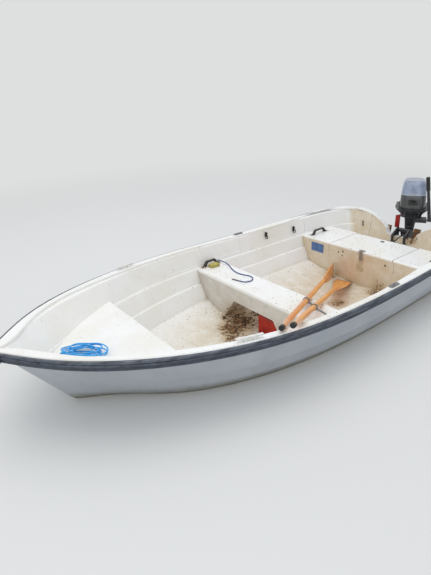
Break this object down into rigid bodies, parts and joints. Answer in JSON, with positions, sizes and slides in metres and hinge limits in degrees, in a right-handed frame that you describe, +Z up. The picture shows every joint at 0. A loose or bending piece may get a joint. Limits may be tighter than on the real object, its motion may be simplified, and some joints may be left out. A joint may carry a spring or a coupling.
{
  "type": "rowing boat with outboard motor",
  "caption": "Moulded open rowing boat with clinker-shaped sides, thwart, stern locker seat, oars, and a small tiller-steered outboard motor.",
  "frame": {"origin": "on the waterline and the centreline, half-way along the hull", "axes": "+X forward to the bow, +Y to port, +Z up"},
  "size_m": [4.0745, 1.6612, 1.1931],
  "materials": {
    "gelcoat_outer": "white moulded gelcoat, weathered",
    "gelcoat_inner": "off-white moulded gelcoat, stained",
    "rail_rubber": "grey rub rail",
    "oar_wood": "varnished pine",
    "pad_wood": "weathered brown wood",
    "black_plastic": "black moulded plastic",
    "galvanised": "dull galvanised steel",
    "cleat_white": "white moulded plastic",
    "motor_black": "black paint, satin",
    "cowl_grey": "dark grey, glossy",
    "tank_red": "red moulded plastic",
    "rope_blue": "blue polypropylene rope",
    "lanyard_blue": "dark blue cord",
    "sponge": "olive-yellow sponge",
    "hose_black": "black rubber hose"
  },
  "bodies": {
    "root": {"hull_shell": "gelcoat_outer", "keel_strip": "gelcoat_outer", "floor_pan": "gelcoat_inner", "side_liner_port": "gelcoat_inner", "side_liner_starboard": "gelcoat_inner", "transom_board": "gelcoat_inner", "transom_cap": "gelcoat_inner", "gunwale_port": "gelcoat_inner", "gunwale_starboard": "gelcoat_inner", "thwart": "gelcoat_inner", "stern_seat": "gelcoat_inner", "stern_well": "gelcoat_inner", "bow_seat": "gelcoat_inner", "rub_rail_port": "rail_rubber", "rub_rail_starboard": "rail_rubber", "bow_rail": "rail_rubber", "locker_vent": "galvanised", "thwart_handles": "black_plastic", "stern_handles": "black_plastic", "cleats": "cleat_white", "oarlock_sockets": "galvanised", "side_hooks": "black_plastic", "transom_pads": "pad_wood", "fuel_tank": "tank_red", "tank_cap": "black_plastic", "sponge": "sponge", "thwart_lanyard": "lanyard_blue", "lanyard_toggle": "black_plastic", "bow_rope": "rope_blue", "oar_port": "oar_wood", "oar_starboard": "oar_wood", "oar_caps": "black_plastic", "oar_collar_port": "galvanised", "oar_collar_starboard": "galvanised", "clamp_bracket": "motor_black", "clamp_screws": "galvanised", "fuel_hose": "hose_black"},
    "swivel": {"swivel_bracket": "motor_black"},
    "motor": {"motor_leg": "motor_black", "splash_plate": "motor_black", "gearcase": "motor_black", "lower_cowl": "motor_black", "upper_cowl": "cowl_grey", "starter_handle": "black_plastic", "tiller_bracket": "motor_black"},
    "tiller": {"tiller_arm": "motor_black", "tiller_grip": "black_plastic"},
    "propeller": {"propeller": "motor_black"},
    "lid": {"locker_lid": "gelcoat_inner", "lid_hasp": "galvanised", "lid_catch": "black_plastic"}
  },
  "joints": [
    {"name": "tilt", "type": "hinge", "parent": "root", "child": "swivel", "pos_m": [-1.818, 0, 0.226], "axis": [0, -1, 0], "range_deg": [-60, 0]},
    {"name": "steering", "type": "hinge", "parent": "swivel", "child": "motor", "pos_m": [-1.918, 0, 0], "axis": [0, 0, 1], "range_deg": [-70, 10]},
    {"name": "tiller_fold", "type": "hinge", "parent": "motor", "child": "tiller", "pos_m": [-1.94604, 0.16856, 0.332], "axis": [-0.5, 0.866, 0], "range_deg": [0, 90]},
    {"name": "propeller_spin", "type": "hinge", "parent": "motor", "child": "propeller", "pos_m": [-2.08125, -0.09425, -0.362], "axis": [0.866, 0.5, 0], "continuous": true},
    {"name": "locker_lid", "type": "hinge", "parent": "root", "child": "lid", "pos_m": [-1.529, 0, 0.183], "axis": [0, -1, 0], "range_deg": [0, 95]}
  ]
}
